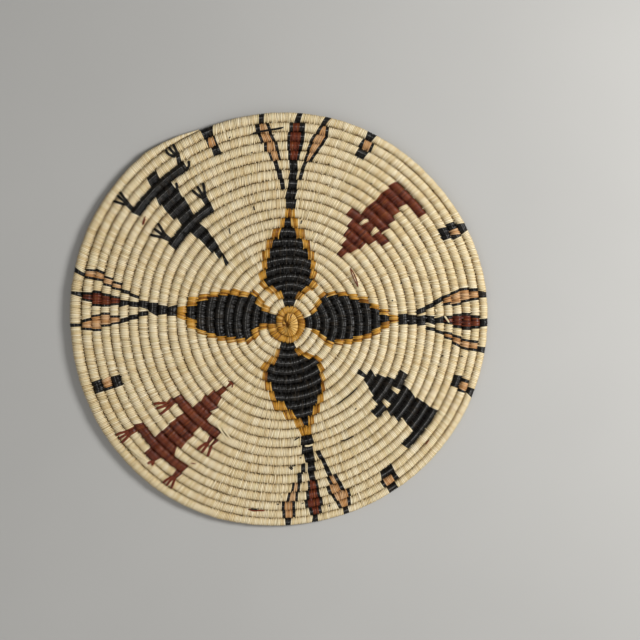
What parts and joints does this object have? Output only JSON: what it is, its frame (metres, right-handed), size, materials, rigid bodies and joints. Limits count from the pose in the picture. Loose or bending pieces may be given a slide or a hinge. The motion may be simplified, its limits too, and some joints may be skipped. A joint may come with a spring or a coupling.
{
  "type": "coiled basketry plaque",
  "caption": "Round flat tray wound from one stitched coil of plant fibre, with dyed petals, feathers, lizards and animal heads.",
  "frame": {"origin": "middle of the disc on its back face, where it lies on a table", "axes": "+Z out of the decorated face, +Y towards the upward petal, +X towards the petal on the right"},
  "size_m": [0.4005, 0.3958, 0.0094],
  "materials": {
    "natural_fibre": "plain sun-bleached plant fibre, matte, with fine grooves between stitches",
    "black_fibre": "dyed plant fibre, slightly glossy",
    "gold_fibre": "dyed plant fibre, ochre gold, satin",
    "red_brown_fibre": "dyed plant fibre, dark red-brown, satin",
    "peach_fibre": "dyed plant fibre, pale orange, satin"
  },
  "bodies": {
    "root": {"coil": "natural_fibre", "start_knot": "gold_fibre", "start_stitching": "gold_fibre", "petal_top": "black_fibre", "petal_left": "black_fibre", "petal_bottom": "black_fibre", "petal_right": "black_fibre", "petal_tip_top": "gold_fibre", "petal_tip_left": "gold_fibre", "petal_tip_bottom": "gold_fibre", "petal_tip_right": "gold_fibre", "stem_top": "black_fibre", "stem_left": "black_fibre", "stem_bottom": "black_fibre", "stem_right": "black_fibre", "feather_top_middle": "red_brown_fibre", "feather_left_middle": "red_brown_fibre", "feather_bottom_middle": "red_brown_fibre", "feather_right_middle": "red_brown_fibre", "feather_top_first": "peach_fibre", "feather_top_last": "peach_fibre", "feather_left_first": "peach_fibre", "feather_left_last": "peach_fibre", "feather_bottom_first": "peach_fibre", "feather_bottom_last": "peach_fibre", "feather_right_first": "peach_fibre", "feather_right_last": "peach_fibre", "lizard_black": "black_fibre", "animal_head_black": "black_fibre", "rim_check_lower_right": "black_fibre", "rim_check_right_low": "black_fibre", "rim_check_right_high": "black_fibre", "rim_check_upper_right": "black_fibre", "rim_check_top": "black_fibre", "rim_check_left": "black_fibre", "lizard_red": "red_brown_fibre", "animal_head_red": "red_brown_fibre"}
  },
  "joints": []
}
